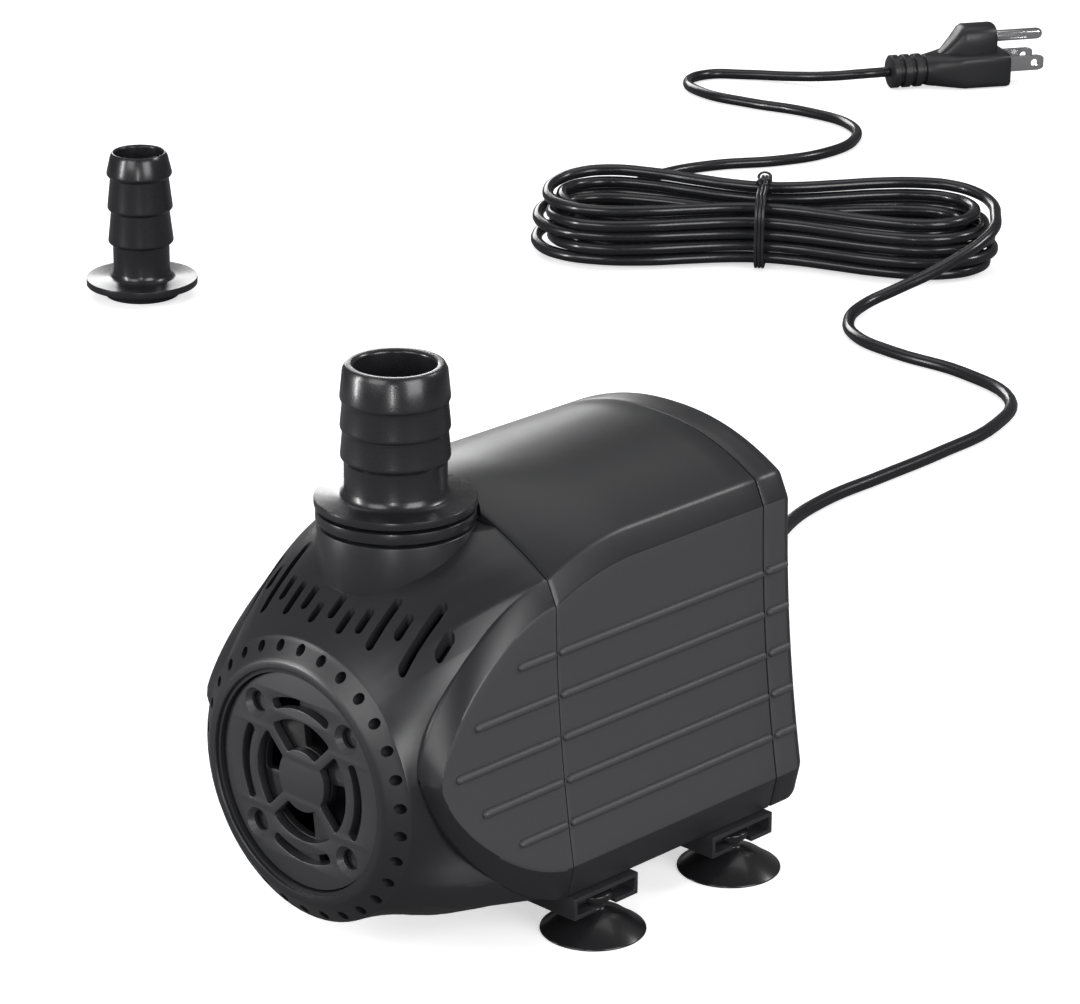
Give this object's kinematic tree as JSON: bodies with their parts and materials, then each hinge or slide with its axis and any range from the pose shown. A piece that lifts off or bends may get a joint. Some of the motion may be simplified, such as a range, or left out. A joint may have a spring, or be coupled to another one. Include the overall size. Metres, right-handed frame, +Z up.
{
  "type": "submersible pump",
  "caption": "Magnetic-drive submersible pump with slotted intake cover, turning intake dial, barbed hose nozzle, suction-cup feet and a mains lead folded in a tied hank.",
  "frame": {"origin": "on the floor, midway between the four suction cups", "axes": "+X across the pump, +Y from the intake towards the lead, +Z up along the outlet"},
  "size_m": [0.5384, 0.7844, 0.1432],
  "materials": {
    "housing_plastic": "moulded ABS with a fine satin grain",
    "cover_plastic": "moulded ABS, smoother satin",
    "dial_plastic": "moulded satin ABS",
    "inner_plastic": "moulded ABS",
    "seal_rubber": "soft rubber",
    "collar_plastic": "semi-gloss ABS",
    "nozzle_plastic": "glossy ABS",
    "impeller_plastic": "white moulded plastic",
    "ferrite": "overmoulded ferrite",
    "ceramic": "polished alumina",
    "lamination": "stacked steel plates",
    "bobbin_nylon": "natural nylon",
    "copper_wire": "enamelled copper",
    "epoxy": "poured black epoxy",
    "bracket_plastic": "moulded ABS",
    "cup_rubber": "smooth semi-gloss PVC",
    "gland_rubber": "soft PVC",
    "cord_sheath": "semi-gloss PVC sheath",
    "tie_plastic": "coated wire",
    "plug_plastic": "moulded PVC",
    "pin_metal": "nickel-plated brass"
  },
  "bodies": {
    "pump": {"motor_housing": "housing_plastic", "rear_cap": "housing_plastic", "impeller_chamber": "inner_plastic", "chamber_seal": "seal_rubber", "outlet_seal": "seal_rubber", "rotor_shaft": "ceramic", "front_bush": "seal_rubber", "rear_bush": "seal_rubber", "stator_core": "lamination", "bobbin_left": "bobbin_nylon", "bobbin_right": "bobbin_nylon", "coil_left": "copper_wire", "coil_right": "copper_wire", "potting_compound": "epoxy", "foot_bracket_fl": "bracket_plastic", "foot_bracket_fr": "bracket_plastic", "foot_bracket_rl": "bracket_plastic", "foot_bracket_rr": "bracket_plastic", "suction_cup_fl": "cup_rubber", "suction_cup_fr": "cup_rubber", "suction_cup_rl": "cup_rubber", "suction_cup_rr": "cup_rubber", "cord_gland": "gland_rubber", "power_cord": "cord_sheath", "cord_hank": "cord_sheath", "cord_tail": "cord_sheath", "cord_tie": "tie_plastic", "plug_body": "plug_plastic", "plug_blades": "pin_metal", "ground_pin": "pin_metal"},
    "rotor": {"impeller": "impeller_plastic", "rotor_magnet": "ferrite"},
    "cover": {"front_cover": "cover_plastic", "regulator_plate": "inner_plastic", "outlet_collar": "collar_plastic"},
    "dial": {"intake_dial": "dial_plastic"},
    "nozzle": {"hose_nozzle": "nozzle_plastic"},
    "spare": {"spare_nozzle": "nozzle_plastic"}
  },
  "joints": [
    {"name": "rotor_spin", "type": "hinge", "parent": "pump", "child": "rotor", "pos_m": [0, 0, 0.045], "axis": [0, 1, 0], "continuous": true},
    {"name": "cover_slide", "type": "slide", "parent": "pump", "child": "cover", "axis": [0, -1, 0], "range_m": [0, 0.055]},
    {"name": "dial_turn", "type": "hinge", "parent": "cover", "child": "dial", "pos_m": [0, -0.08165, 0.045], "axis": [0, -1, 0], "range_deg": [0, 45]},
    {"name": "nozzle_lift", "type": "slide", "parent": "cover", "child": "nozzle", "axis": [0, 0, 1], "range_m": [0, 0.03]},
    {"name": "spare_nozzle_lift", "type": "slide", "parent": "pump", "child": "spare", "axis": [0, 0, 1], "range_m": [0, 0.05]}
  ]
}
